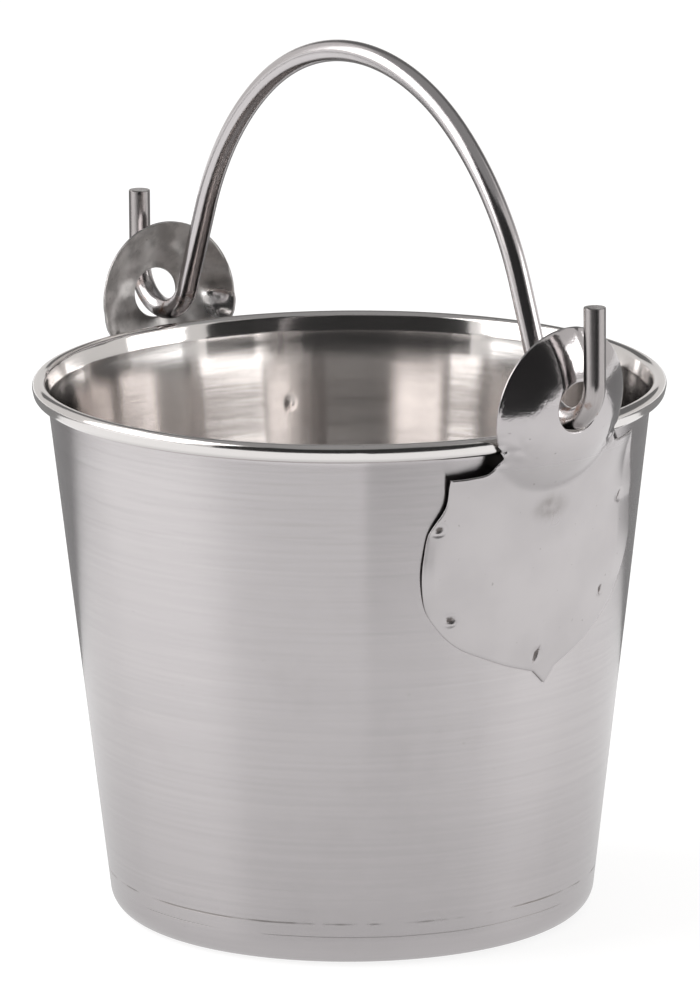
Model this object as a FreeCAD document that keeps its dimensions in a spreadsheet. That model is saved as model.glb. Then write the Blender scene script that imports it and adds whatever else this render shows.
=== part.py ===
import FreeCAD, Part

import math
import os

import Sketcher

# Stainless steel feed bucket with a swinging bail.
# Frame: origin at the centre of the base, +Z up, X along the bail's pivot line.
# Four separate pieces: the drawn body with its rolled rim, two pressed ears that
# are spot welded to it, and the bent rod that swings in the ears' holes.

V = FreeCAD.Vector
doc = FreeCAD.newDocument("feed_bucket")

# ---------------------------------------------------------------- dimensions

DIMENSIONS = [
    ("gauge", "0.8", "thickness of the sheet steel"),
    ("base_reach", "77.7", "radius of the wall's outer face carried down to the ground"),
    ("taper", "0.11466", "outward run of the wall for each millimetre of height"),
    ("corner", "8.2", "outer radius between base and wall"),
    ("flare_height", "168.4", "height where the wall turns out into the rim"),
    ("flare_radius", "5.2", "radius of that turn on the outer face"),
    ("rim_reach", "102", "outermost radius of the rolled rim"),
    ("rim_height", "175.3", "height of the rim's top"),
    ("roll_radius", "2.25", "outer radius of the roll's two bends"),
    ("roll_drop", "1.5", "straight part between the roll's two bends"),
    ("roll_tuck", "110", "degrees that the lower bend turns in under the rim"),
    ("rod", "7", "diameter of the bail's rod"),
    ("axis_height", "180.7", "height of the pivot line"),
    ("hook_reach", "106", "distance of the hook's bend centre from the middle"),
    ("hook_rise", "12.1", "height of the hook's bend centre above the pivot line"),
    ("hook_radius", "13.5", "radius of the hook's bend"),
    ("stub_height", "217", "height of the hook's free end"),
    ("crown_radius", "80.75", "radius of the arch over the middle"),
    ("crown_height", "199.4", "height of that arc's centre"),
    ("side_radius", "101.5", "radius of the arch at its sides"),
    ("side_offset", "12.75", "distance of those arcs' centres beyond the middle"),
    ("burr", "0.4", "chamfer on the rod's cut ends"),
    ("ear_turn", "2.4", "degrees round the pail that both ears stand off the X line, towards +Y"),
    ("ear_root", "80", "height where the ear's sheet may begin"),
    ("ear_core", "55", "radius inside which the ear has no material"),
    ("lean_start", "134", "height where the ear leaves the wall"),
    ("lean_radius", "113", "radius of the ear's bend away from the wall"),
    ("lean_top", "171", "height where the lean gives way to the dome"),
    ("dome_radius", "40", "inner radius of the domed upper lobe"),
    ("dome_height", "186.5", "height of the dome's centre"),
    ("dome_reach", "112", "how far out the dome's inner face stands"),
    ("hole", "16", "diameter of the bail hole"),
    ("hole_height", "183.8", "height of the bail hole"),
    ("lobe_radius", "25.7", "radius of the upper lobe's outline"),
    ("lobe_height", "182.4", "height of that outline's centre"),
    ("neck_height", "170.3", "height of the notches at the neck"),
    ("crook_radius", "5.2", "radius of the hollow corners under the neck"),
    ("brow_height", "165.4", "height of the lower lobe's top edges"),
    ("flank_radius", "90", "radius of the lower lobe's sides"),
    ("bilge_radius", "30", "radius of the lower lobe's bottom corners"),
    ("bilge_offset", "14.3", "distance of those corners' centres from the middle"),
    ("bilge_height", "131.5", "height of those centres, where the lobe is widest"),
    ("belly_radius", "140", "radius of the lower lobe's underside"),
    ("tip_half", "4.75", "half width of the pointed tip"),
    ("tip_root", "94.3", "height of the tip's root"),
    ("tip_height", "89.4", "height of the tip's point"),
    ("skew", "3.5", "degrees that the outline hangs askew about the upper lobe's centre"),
    ("dimple_ball", "16", "radius of the electrode face that pressed the weld dimples"),
    ("dimple_depth", "0.25", "depth of the weld dimples"),
]

# Spot welds of one ear: degrees round the pail from the ear's middle, and height.
WELDS = [(-23, 146), (23, 146), (-20, 115.5), (20, 115.5), (0.8, 99.8)]

sheet = doc.addObject("Spreadsheet::Sheet", "sizes")
for row, (alias, value, meaning) in enumerate(DIMENSIONS, start=1):
    sheet.set("A%d" % row, alias.replace("_", " "))
    sheet.set("B%d" % row, value)
    sheet.set("C%d" % row, meaning)
    sheet.setAlias("B%d" % row, alias)
doc.recompute()


def size(alias):
    return float(sheet.get(alias))


# ------------------------------------------------------------ sketch helpers
START, END, CENTRE = 1, 2, 3
ORIGIN = (-1, 1)
UPRIGHT = -2
NEAR = 0.01


def origin_plane(body, role):
    return next(item for item in body.Origin.OriginFeatures if item.Role == role)


def line(sketch, start, end):
    return sketch.addGeometry(Part.LineSegment(V(*start, 0), V(*end, 0)), False)


def arc(sketch, centre, radius, first, last):
    """An arc that runs anticlockwise from angle first to angle last, in degrees."""
    circle = Part.Circle(V(*centre, 0), V(0, 0, 1), radius)
    bow = Part.ArcOfCircle(circle, math.radians(first), math.radians(last))
    return sketch.addGeometry(bow, False)


def polar(centre, radius, degrees):
    turn = math.radians(degrees)
    return (centre[0] + radius * math.cos(turn), centre[1] + radius * math.sin(turn))


def side_spot(sign, spot):
    """A spot of a sketch's right half, or its mirror image in the left half."""
    return (sign * spot[0], spot[1])


def side_arc(sketch, sign, centre, radius, first, last):
    """An arc of the right half, or its mirror image in the left half. Gives the arc,
    and which of its ends lie at the first and the last angle."""
    if sign > 0:
        return arc(sketch, centre, radius, first, last), START, END
    return arc(sketch, side_spot(sign, centre), radius, 180 - last, 180 - first), END, START


def bind(sketch, constraint, formula):
    index = sketch.addConstraint(constraint)
    sketch.setExpression("Constraints[%d]" % index, formula)


def set_radius(sketch, bow, formula):
    bind(sketch, Sketcher.Constraint("Radius", bow, sketch.Geometry[bow].Radius), formula)


def set_across(sketch, item, point, formula):
    now = sketch.getPoint(item, point).x
    bind(sketch, Sketcher.Constraint("DistanceX", *ORIGIN, item, point, now), formula)


def set_up(sketch, item, point, formula):
    now = sketch.getPoint(item, point).y
    bind(sketch, Sketcher.Constraint("DistanceY", *ORIGIN, item, point, now), formula)


def join(sketch, *pairs):
    """Makes each pair of ends meet: (item, end, item, end)."""
    for pair in pairs:
        sketch.addConstraint(Sketcher.Constraint("Coincident", *pair))


def blend(sketch, *pairs):
    """Makes each pair of ends meet in one smooth line."""
    for pair in pairs:
        sketch.addConstraint(Sketcher.Constraint("Tangent", *pair))


def hold(sketch, kind, *items):
    for item in items:
        sketch.addConstraint(Sketcher.Constraint(kind, item))


def hold_middle(sketch, item, point):
    """Keeps a point on the sketch's upright axis."""
    sketch.addConstraint(Sketcher.Constraint("PointOnObject", item, point, UPRIGHT))


def tangent_angle(first, first_radius, second, second_radius):
    """The direction, in degrees, of the radii that meet the circles' left tangent."""
    run = second[0] - first[0]
    rise = second[1] - first[1]
    lead = math.degrees(math.atan2(rise, run))
    opening = math.degrees(math.acos((first_radius - second_radius) / math.hypot(run, rise)))
    return lead + opening


# ----------------------------------------------------------------- pail body
def wall_reach(height):
    """The radius of the wall's outer face at a height."""
    return size("base_reach") + size("taper") * height


def pail_shell():
    """Base, wall and rolled rim: one sheet, turned from its cross-section."""
    body = doc.addObject("PartDesign::Body", "pail_shell")
    sketch = body.newObject("Sketcher::SketchObject", "shell_profile")
    sketch.AttachmentSupport = [(origin_plane(body, "XZ_Plane"), "")]
    sketch.MapMode = "FlatFace"

    gauge = size("gauge")
    slant = math.hypot(1, size("taper"))
    lean = math.degrees(math.atan(size("taper")))
    corner = size("corner")
    foot = (wall_reach(corner) - corner * slant, corner)
    turn = (wall_reach(size("flare_height")) + size("flare_radius") * slant, size("flare_height"))
    roll = (size("rim_reach") - size("roll_radius"), size("rim_height") - size("roll_radius"))
    under = (roll[0], roll[1] - size("roll_drop"))
    flare = tangent_angle(turn, size("flare_radius"), roll, size("roll_radius") - gauge)
    tuck = size("roll_tuck")

    def face(layers):
        """One face of the sheet, from the base's middle to the rolled edge: the outer
        face has no layer under it, the inner face one."""
        skin = layers * gauge
        thickness = "%d * sizes.gauge" % layers
        bend = corner - skin
        outer = size("flare_radius") + skin
        curl = size("roll_radius") - gauge + skin
        floor = line(sketch, (0, skin), (foot[0], skin))
        heel = arc(sketch, foot, bend, -90, -lean)
        wall = line(sketch, polar(foot, bend, -lean), polar(turn, outer, 180 - lean))
        knee = arc(sketch, turn, outer, flare, 180 - lean)
        lip = line(sketch, polar(turn, outer, flare), polar(roll, curl, flare))
        crest = arc(sketch, roll, curl, 0, flare)
        drop = line(sketch, polar(roll, curl, 0), polar(under, curl, 0))
        hem = arc(sketch, under, curl, -tuck, 0)
        blend(sketch, (floor, END, heel, START), (heel, END, wall, START),
              (wall, END, knee, END), (knee, START, lip, START), (lip, END, crest, END),
              (crest, START, drop, START), (drop, END, hem, END))
        set_radius(sketch, heel, "sizes.corner - " + thickness)
        set_radius(sketch, knee, "sizes.flare_radius + " + thickness)
        set_radius(sketch, crest, "sizes.roll_radius - sizes.gauge + " + thickness)
        set_radius(sketch, hem, "sizes.roll_radius - sizes.gauge + " + thickness)
        return floor, heel, knee, crest, hem

    outside = face(0)
    inside = face(1)
    for bow, twin in zip(outside[1:], inside[1:]):
        join(sketch, (bow, CENTRE, twin, CENTRE))

    slope = "sqrt(1 + sizes.taper ^ 2)"
    reach = "sizes.base_reach + sizes.taper * "
    heel, knee, crest, hem = outside[1:]
    set_across(sketch, heel, CENTRE, reach + "sizes.corner - sizes.corner * " + slope)
    set_up(sketch, heel, CENTRE, "sizes.corner")
    set_across(sketch, knee, CENTRE,
               reach + "sizes.flare_height + sizes.flare_radius * " + slope)
    set_up(sketch, knee, CENTRE, "sizes.flare_height")
    set_across(sketch, crest, CENTRE, "sizes.rim_reach - sizes.roll_radius")
    set_up(sketch, crest, CENTRE, "sizes.rim_height - sizes.roll_radius")
    set_across(sketch, hem, CENTRE, "sizes.rim_reach - sizes.roll_radius")
    set_up(sketch, hem, CENTRE, "sizes.rim_height - sizes.roll_radius - sizes.roll_drop")

    axle = line(sketch, (0, 0), (0, gauge))
    sketch.addConstraint(Sketcher.Constraint("Coincident", axle, START, *ORIGIN))
    join(sketch, (axle, START, outside[0], START), (axle, END, inside[0], START))
    hold(sketch, "Vertical", axle)

    edge = line(sketch, polar(under, size("roll_radius") - gauge, -tuck),
                polar(under, size("roll_radius"), -tuck))
    join(sketch, (edge, START, hem, START), (edge, END, inside[4], START))
    tilt = Sketcher.Constraint("Angle", edge, math.radians(-tuck))
    bind(sketch, tilt, "-1deg * sizes.roll_tuck")

    turned = body.newObject("PartDesign::Revolution", "turned_shell")
    turned.Profile = sketch
    turned.ReferenceAxis = (sketch, ["V_Axis"])
    turned.Angle = 360
    return body


# ---------------------------------------------------------------------- bail
def bail():
    """One bent rod: stub, open hook, leg, arch, leg, open hook, stub."""
    body = doc.addObject("PartDesign::Body", "bail")
    path = body.newObject("Sketcher::SketchObject", "bail_path")
    path.AttachmentSupport = [(origin_plane(body, "XZ_Plane"), "")]
    path.MapMode = "FlatFace"

    crown = (0, size("crown_height"))
    fall = math.sqrt((size("side_radius") - size("crown_radius")) ** 2
                     - size("side_offset") ** 2)
    join_angle = math.degrees(math.atan2(fall, size("side_offset")))
    flank = (-size("side_offset"), crown[1] - fall)
    hook = (size("hook_reach"), size("axis_height") + size("hook_rise"))
    outer = hook[0] + size("hook_radius")
    # The leg is the straight tangent between the arch's side and the hook's bend.
    run = hook[0] - flank[0]
    rise = hook[1] - flank[1]
    spread = (size("side_radius") + size("hook_radius")) / math.hypot(run, rise)
    leg_lean = math.degrees(math.atan2(rise, run) + math.acos(spread))

    over = arc(path, crown, size("crown_radius"), join_angle, 180 - join_angle)
    set_radius(path, over, "sizes.crown_radius")
    hold_middle(path, over, CENTRE)
    set_up(path, over, CENTRE, "sizes.crown_height")

    for sign, over_end in ((1, START), (-1, END)):
        shin, shin_low, shin_high = side_arc(
            path, sign, flank, size("side_radius"), leg_lean, join_angle)
        bend, bend_leg, bend_stub = side_arc(
            path, sign, hook, size("hook_radius"), leg_lean - 180, 0)
        shin_foot = path.getPoint(shin, shin_low)
        bend_head = path.getPoint(bend, bend_leg)
        leg = line(path, (shin_foot.x, shin_foot.y), (bend_head.x, bend_head.y))
        stub = line(path, side_spot(sign, (outer, hook[1])),
                    side_spot(sign, (outer, size("stub_height"))))

        blend(path, (over, over_end, shin, shin_high), (shin, shin_low, leg, START),
              (leg, END, bend, bend_leg), (bend, bend_stub, stub, START))
        hold(path, "Vertical", stub)
        set_radius(path, shin, "sizes.side_radius")
        set_radius(path, bend, "sizes.hook_radius")
        set_across(path, shin, CENTRE, "%d * sizes.side_offset" % -sign)
        set_across(path, bend, CENTRE, "%d * sizes.hook_reach" % sign)
        set_up(path, bend, CENTRE, "sizes.axis_height + sizes.hook_rise")
        set_up(path, stub, END, "sizes.stub_height")

    ring = body.newObject("Sketcher::SketchObject", "rod_section")
    ring.AttachmentSupport = [(origin_plane(body, "XY_Plane"), "")]
    ring.MapMode = "FlatFace"
    ring.setExpression("AttachmentOffset.Base.x", "sizes.hook_reach + sizes.hook_radius")
    ring.setExpression("AttachmentOffset.Base.z", "sizes.stub_height")
    circle = ring.addGeometry(Part.Circle(V(0, 0, 0), V(0, 0, 1), size("rod") / 2), False)
    ring.addConstraint(Sketcher.Constraint("Coincident", circle, CENTRE, *ORIGIN))
    set_radius(ring, circle, "sizes.rod / 2")
    doc.recompute()

    bent = body.newObject("PartDesign::AdditivePipe", "bent_rod")
    bent.Profile = ring
    bent.Spine = (path, ["Edge%d" % (number + 1) for number in range(path.GeometryCount)])
    doc.recompute()

    ends = [
        "Edge%d" % (number + 1)
        for number, edge in enumerate(bent.Shape.Edges)
        if abs(edge.BoundBox.ZMin - size("stub_height")) < NEAR and edge.isClosed()
    ]
    cut = body.newObject("PartDesign::Chamfer", "cut_ends")
    cut.Base = (bent, ends)
    cut.setExpression("Size", "sizes.burr")
    # The pivot line passes through both holes, so it stands off the middle with them.
    body.setExpression("Placement.Base.y", "sizes.dome_reach * sin(1deg * sizes.ear_turn)")
    return body


# ---------------------------------------------------------------------- ears
def lean_ring(name, layers):
    """A ring whose outer face follows the wall, then leans away from it to pass
    outside the rim. That face stands the given layers of sheet off the ear's back."""
    sketch = doc.addObject("Sketcher::SketchObject", name + "_profile")
    sketch.Placement = FreeCAD.Placement(V(0, 0, 0), FreeCAD.Rotation(V(1, 0, 0), 90))

    skin = layers * size("gauge")
    slant = math.hypot(1, size("taper"))
    lean = math.degrees(math.atan(size("taper")))
    core = size("ear_core")
    root = size("ear_root")
    top = size("lean_top")
    radius = size("lean_radius")
    centre = polar((wall_reach(size("lean_start")), size("lean_start")), radius, -lean)
    peak = 180 - math.degrees(math.asin((top - centre[1]) / (radius - skin)))

    foot = (wall_reach(root) + skin * slant, root)
    wall = line(sketch, foot, polar(centre, radius - skin, 180 - lean))
    bow = arc(sketch, centre, radius - skin, peak, 180 - lean)
    crown = line(sketch, polar(centre, radius - skin, peak), (core, top))
    back = line(sketch, (core, top), (core, root))
    floor = line(sketch, (core, root), foot)
    blend(sketch, (wall, END, bow, END))
    join(sketch, (bow, START, crown, START), (crown, END, back, START),
         (back, END, floor, START), (floor, END, wall, START))
    hold(sketch, "Vertical", back)
    hold(sketch, "Horizontal", crown, floor)

    slope = "sqrt(1 + sizes.taper ^ 2)"
    set_radius(sketch, bow, "sizes.lean_radius - %d * sizes.gauge" % layers)
    set_across(sketch, bow, CENTRE,
               "sizes.base_reach + sizes.taper * sizes.lean_start + sizes.lean_radius / " + slope)
    set_up(sketch, bow, CENTRE,
           "sizes.lean_start - sizes.lean_radius * sizes.taper / " + slope)
    set_across(sketch, back, END, "sizes.ear_core")
    set_up(sketch, back, END, "sizes.ear_root")
    set_up(sketch, back, START, "sizes.lean_top")

    ring = doc.addObject("Part::Revolution", name)
    ring.Source = sketch
    ring.Axis = V(0, 0, 1)
    ring.Angle = 360
    ring.Solid = True
    return ring


def dome_ball(name, layers):
    ball = doc.addObject("Part::Sphere", name)
    ball.setExpression("Radius", "sizes.dome_radius + %d * sizes.gauge" % layers)
    ball.setExpression("Placement.Base.x", "sizes.dome_reach - sizes.dome_radius")
    ball.setExpression("Placement.Base.z", "sizes.dome_height")
    return ball


def ear_outline():
    """The ear's outline, seen along X: a round upper lobe, a notched neck, and a
    wide lower lobe that ends in a small pointed tip."""
    sketch = doc.addObject("Sketcher::SketchObject", "ear_outline")
    sketch.Placement = FreeCAD.Placement(
        V(0, 0, 0), FreeCAD.Rotation(V(0, 1, 0), V(0, 0, 1), V(1, 0, 0), "ZXY"))

    lobe = (0, size("lobe_height"))
    notch_drop = lobe[1] - size("neck_height")
    notch = math.degrees(math.asin(notch_drop / size("lobe_radius")))
    neck = polar(lobe, size("lobe_radius"), -notch)
    cap = arc(sketch, lobe, size("lobe_radius"), -notch, 180 + notch)
    set_radius(sketch, cap, "sizes.lobe_radius")
    hold_middle(sketch, cap, CENTRE)
    set_up(sketch, cap, CENTRE, "sizes.lobe_height")

    # The hollow corner meets the neck above and the level top edge below.
    hollow_up = size("brow_height") + size("crook_radius")
    crook_turn = math.degrees(math.asin((hollow_up - neck[1]) / size("crook_radius")))
    hollow = (neck[0] + size("crook_radius") * math.cos(math.radians(crook_turn)), hollow_up)

    bilge = (size("bilge_offset"), size("bilge_height"))
    flank = (bilge[0] + size("bilge_radius") - size("flank_radius"), bilge[1])
    flank_rise = (size("brow_height") - flank[1]) / size("flank_radius")
    rise = math.degrees(math.asin(flank_rise))
    shoulder = polar(flank, size("flank_radius"), rise)

    # Centre of the belly arc: it passes the tip's root and touches the bottom corner.
    root = (size("tip_half"), size("tip_root"))
    gap = size("belly_radius") - size("bilge_radius")
    span = math.dist(root, bilge)
    along = (size("belly_radius") ** 2 - gap ** 2 + span ** 2) / (2 * span)
    aside = math.sqrt(size("belly_radius") ** 2 - along ** 2)
    lead = ((bilge[0] - root[0]) / span, (bilge[1] - root[1]) / span)
    belly = (root[0] + along * lead[0] - aside * lead[1],
             root[1] + along * lead[1] + aside * lead[0])
    hip = math.degrees(math.atan2(bilge[1] - belly[1], bilge[0] - belly[0]))
    keel = math.degrees(math.atan2(root[1] - belly[1], root[0] - belly[0]))

    tips = []
    for sign, cap_end in ((1, START), (-1, END)):
        tip = line(sketch, (0, size("tip_height")), side_spot(sign, root))
        under, under_low, under_high = side_arc(
            sketch, sign, belly, size("belly_radius"), keel, hip)
        corner, corner_low, corner_high = side_arc(
            sketch, sign, bilge, size("bilge_radius"), hip, 0)
        side, side_low, side_high = side_arc(
            sketch, sign, flank, size("flank_radius"), 0, rise)
        brow = line(sketch, side_spot(sign, shoulder),
                    side_spot(sign, (hollow[0], size("brow_height"))))
        crook, crook_high, crook_low = side_arc(
            sketch, sign, hollow, size("crook_radius"), 180 + crook_turn, 270)
        join(sketch, (tip, END, under, under_low), (side, side_high, brow, START),
             (crook, crook_high, cap, cap_end))
        blend(sketch, (under, under_high, corner, corner_low),
              (corner, corner_high, side, side_low), (brow, END, crook, crook_low))
        hold(sketch, "Horizontal", brow)
        set_across(sketch, tip, END, "%d * sizes.tip_half" % sign)
        set_up(sketch, tip, END, "sizes.tip_root")
        set_radius(sketch, under, "sizes.belly_radius")
        set_radius(sketch, corner, "sizes.bilge_radius")
        set_across(sketch, corner, CENTRE, "%d * sizes.bilge_offset" % sign)
        set_up(sketch, corner, CENTRE, "sizes.bilge_height")
        set_radius(sketch, side, "sizes.flank_radius")
        set_up(sketch, side, CENTRE, "sizes.bilge_height")
        set_up(sketch, brow, START, "sizes.brow_height")
        set_radius(sketch, crook, "sizes.crook_radius")
        set_up(sketch, crook, crook_high, "sizes.neck_height")
        tips.append(tip)
    join(sketch, (tips[0], START, tips[1], START))
    hold_middle(sketch, tips[0], START)
    set_up(sketch, tips[0], START, "sizes.tip_height")
    return sketch


def weld_ball(number, degrees, height):
    """The rounded electrode face that presses one weld dimple into the ear."""
    slope = 1 / math.hypot(1, size("taper"))
    lean = 0
    if height > size("lean_start"):
        lean = (height - size("lean_start")) ** 2 / (2 * size("lean_radius"))
    stand_off = size("gauge") + size("dimple_ball") - size("dimple_depth")
    reach = wall_reach(height) + lean + stand_off * slope
    turn = math.radians(degrees)
    ball = doc.addObject("Part::Sphere", "electrode_%d" % number)
    ball.setExpression("Radius", "sizes.dimple_ball")
    ball.Placement.Base = V(reach * math.cos(turn), reach * math.sin(turn),
                            height - stand_off * size("taper") * slope)
    return ball


def join_shapes(name, shapes):
    fused = doc.addObject("Part::MultiFuse", name)
    fused.Shapes = shapes
    return fused


def cut_shape(name, base, tool):
    cut = doc.addObject("Part::Cut", name)
    cut.Base = base
    cut.Tool = tool
    return cut


def ear_blank():
    """The pressed sheet between two nested forms, cut to its outline."""
    front = join_shapes("ear_front_form", [
        lean_ring("ear_front_ring", 1),
        dome_ball("ear_front_dome", 1),
    ])
    back = join_shapes("ear_back_form", [
        lean_ring("ear_back_ring", 0),
        dome_ball("ear_back_dome", 0),
    ])
    pressed = cut_shape("ear_sheet", front, back)

    outline = doc.addObject("Part::Extrusion", "ear_cutter")
    outline.Base = ear_outline()
    outline.DirMode = "Custom"
    outline.Dir = V(1, 0, 0)
    outline.Solid = True
    outline.setExpression("LengthFwd", "sizes.dome_reach + sizes.dome_radius")
    outline.Placement = FreeCAD.Placement(
        V(size("ear_core"), 0, 0), FreeCAD.Rotation(V(1, 0, 0), size("skew")),
        V(0, 0, size("lobe_height")))
    blank = doc.addObject("Part::Common", "ear_blank")
    blank.Base = pressed
    blank.Tool = outline

    punch = doc.addObject("Part::Cylinder", "hole_punch")
    punch.setExpression("Radius", "sizes.hole / 2")
    punch.setExpression("Height", "sizes.dome_radius")
    punch.Placement.Rotation = FreeCAD.Rotation(V(0, 1, 0), 90)
    punch.setExpression("Placement.Base.x", "sizes.dome_reach - sizes.dome_radius / 2")
    punch.setExpression("Placement.Base.z", "sizes.hole_height")
    electrodes = [weld_ball(number, *weld) for number, weld in enumerate(WELDS, start=1)]
    return blank, join_shapes("ear_tools", [punch] + electrodes)


def ears():
    """The right ear, and the left ear as its mirror image."""
    blank, tools = ear_blank()
    right = cut_shape("right_ear", blank, tools)
    right.Placement.Rotation = FreeCAD.Rotation(V(0, 0, 1), size("ear_turn"))
    left = doc.addObject("Part::Mirroring", "left_ear")
    left.Source = right
    left.Normal = V(1, 0, 0)
    return [right, left]


# --------------------------------------------------------------------- build
parts = [pail_shell()] + ears() + [bail()]
for part in parts:
    part.Label = part.Name
doc.recompute()

for item in doc.Objects:
    if "Invalid" in item.State or "Error" in item.State:
        raise RuntimeError("%s failed: %s" % (item.Name, item.State))
for part in parts:
    if part.Shape.isNull() or not part.Shape.isValid() or len(part.Shape.Solids) != 1:
        raise RuntimeError("%s is not one valid solid" % part.Label)
    print(part.Label, "volume %.1f" % part.Shape.Volume, part.Shape.BoundBox)

os.makedirs("parts", exist_ok=True)
for part in parts:
    part.Shape.exportStep("parts/%s.step" % part.Label)
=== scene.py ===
import math

import bpy
from mathutils import Matrix, Vector, kdtree, noise
from mathutils.geometry import delaunay_2d_cdt


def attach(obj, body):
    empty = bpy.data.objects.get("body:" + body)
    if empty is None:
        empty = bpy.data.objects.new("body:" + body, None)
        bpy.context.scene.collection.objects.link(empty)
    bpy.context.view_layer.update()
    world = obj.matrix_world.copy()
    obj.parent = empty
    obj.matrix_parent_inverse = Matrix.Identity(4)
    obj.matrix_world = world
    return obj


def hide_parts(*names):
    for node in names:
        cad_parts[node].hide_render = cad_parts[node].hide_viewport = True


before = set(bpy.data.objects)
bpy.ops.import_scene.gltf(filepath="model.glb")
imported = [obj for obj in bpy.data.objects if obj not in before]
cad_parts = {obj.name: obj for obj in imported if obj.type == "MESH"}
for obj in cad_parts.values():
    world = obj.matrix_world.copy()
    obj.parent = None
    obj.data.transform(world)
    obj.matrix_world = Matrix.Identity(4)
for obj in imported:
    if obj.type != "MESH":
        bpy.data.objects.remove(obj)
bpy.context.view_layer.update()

# The visual model of a stainless steel feed bucket, in metres. Z is up, X runs
# along the bail's pivot line. Both ears stand a little round towards +Y. The right
# ear is the one at +X and the left ear the one at -X.

MM = 0.001

# ------------------------------------------------------------------ measures
# The pail: one sheet with a rolled rim.
GAUGE = 0.8 * MM
BASE_REACH = 77.7 * MM       # the wall's outer radius carried down to the ground
TAPER = 0.11466              # outward run of the wall per unit of height
CORNER = 8.2 * MM
FLARE_HEIGHT = 168.4 * MM    # the wall starts to turn out to the rim here
FLARE_RADIUS = 5.2 * MM
RIM_REACH = 102.0 * MM
RIM_HEIGHT = 175.3 * MM
ROLL_RADIUS = 2.25 * MM
ROLL_DROP = 1.5 * MM         # straight run between the roll's crest and its hem
ROLL_LEAN = 12.0             # degrees that this run leans in on its way down
ROLL_TUCK = 110.0            # degrees below level that the hem is wound to
THROAT_FOOT = 135.0 * MM     # the inner face swells from here
THROAT_HEIGHT = 159.8 * MM   # to here, and back to nothing at the flare
THROAT_SWELL = 0.48 * MM
PIP_LIFT = 0.4 * MM
PIP_RADIUS = 0.95 * MM
PAIL_STEPS = 512             # vertices round the pail

# The bail: one bent rod.
ROD_RADIUS = 3.5 * MM
BURR = 0.15 * MM             # how far the sawn ends are rounded off
WEAR = 0.05 * MM
WEAR_HALF = 7 * MM
ROD_STEPS = 56               # vertices round the rod
AXIS_HEIGHT = 180.7 * MM
HOOK_REACH = 106.0 * MM
HOOK_HEIGHT = AXIS_HEIGHT + 12.1 * MM
HOOK_RADIUS = 13.5 * MM
STUB_HEIGHT = 217.0 * MM
CROWN_RADIUS = 80.75 * MM
CROWN_HEIGHT = 199.4 * MM
SIDE_RADIUS = 101.5 * MM
SIDE_OFFSET = 12.75 * MM

# The ears: one pressed sheet each, a domed lobe above and a wide lobe below.
EAR_TURN = math.radians(2.4)
SKEW = math.radians(3.5)     # how far the outline hangs askew
LEAN_START = 134.0 * MM
LEAN_RADIUS = 113.0 * MM
DOME_RADIUS = 40.0 * MM
DOME_HEIGHT = 186.5 * MM
DOME_REACH = 112.0 * MM
HOLE_RADIUS = 8.0 * MM
HOLE_HEIGHT = 183.8 * MM
LOBE_RADIUS = 25.7 * MM
LOBE_HEIGHT = 182.4 * MM
NECK_HEIGHT = 170.3 * MM
CROOK_RADIUS = 5.2 * MM
BROW_HEIGHT = 165.4 * MM
FLANK_RADIUS = 90.0 * MM
BILGE_RADIUS = 30.0 * MM
BILGE_OFFSET = 14.3 * MM
BILGE_HEIGHT = 131.5 * MM
BELLY_RADIUS = 140.0 * MM
TIP_HALF = 4.75 * MM
TIP_ROOT = 94.3 * MM
TIP_HEIGHT = 89.4 * MM
DOME_BLEND = 1.0 * MM        # width of the soft fold between the dome and the lobe
BLEND_TOP = NECK_HEIGHT + 1.5 * MM     # above this the ear is all dome
EDGE_REACH = 0.50 * MM       # how far in from the outline the edge is rounded
# The rounded edge from front to back: shares of EDGE_REACH inwards and of the gauge.
EDGE = [
    (1.0, 1.0), (0.48, 0.93), (0.14, 0.76), (0.0, 0.5), (0.14, 0.24), (0.48, 0.07), (1.0, 0.0),
]
PITCH = 0.95 * MM            # spacing of the ears' vertices
ROW_PITCH = PITCH * 0.866
EAR_ROWS, EAR_COLUMNS = 145, 56        # rows up the ear, columns to each side

# How the ears were bent and knocked out of shape by hand and by use.
WAVE = 0.06 * MM             # slow waves
WAVE_RUN = 10 * MM           # height over which the waves grow above the welded part
FOLD = 2.0 * MM              # sharp folds round each neck
FOLD_RADIUS = 5.0 * MM
CREASE_DEPTH = 0.42 * MM
CREASE_HALF = 2.2 * MM
CREASE_ACROSS = 6.0 * MM     # the crease's middle
CREASE_HEIGHT = 200.0 * MM   # at this height
CREASE_LEAN = 0.15           # and its run across per unit of height
SPRING_START = 24 * MM       # across, where the sides of the lobe start to spring
SPRING_RUN = 14 * MM
SPRING_OFF = 1.1 * MM        # the flanks stand off the wall, between two welds
SPRING_LOW, SPRING_HIGH = 117 * MM, 144 * MM
SHOULDER_IN = 1.7 * MM       # the shoulders stay closer to the wall
SHOULDER_FOOT, SHOULDER_TOP = 147 * MM, 162 * MM
CUT = 3.2 * MM               # the right ear's outline is cut in at one shoulder
CUT_START = -22 * MM
CUT_RUN = 10 * MM
CUT_HEIGHT = 154.5 * MM
CUT_HALF = 8 * MM
RAGGED = 0.35 * MM           # unevenness of the sheared outline
RAGGED_LEFT = 0.6 * MM       # further unevenness of the left ear's
RAGGED_TOP = 182 * MM
# Knocks in the left ear: across, height, radius and depth.
KNOCKS = [
    (20.5 * MM, 181.5 * MM, 3.6 * MM, 2.4 * MM),
    (22.0 * MM, 174.0 * MM, 2.6 * MM, 1.6 * MM),
    (-13.0 * MM, 191.0 * MM, 5.0 * MM, 0.9 * MM),
    (7.0 * MM, 197.0 * MM, 4.5 * MM, -0.8 * MM),
]
RIGHT_SEED, LEFT_SEED = 10, 20         # so that no two ears are uneven alike

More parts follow.
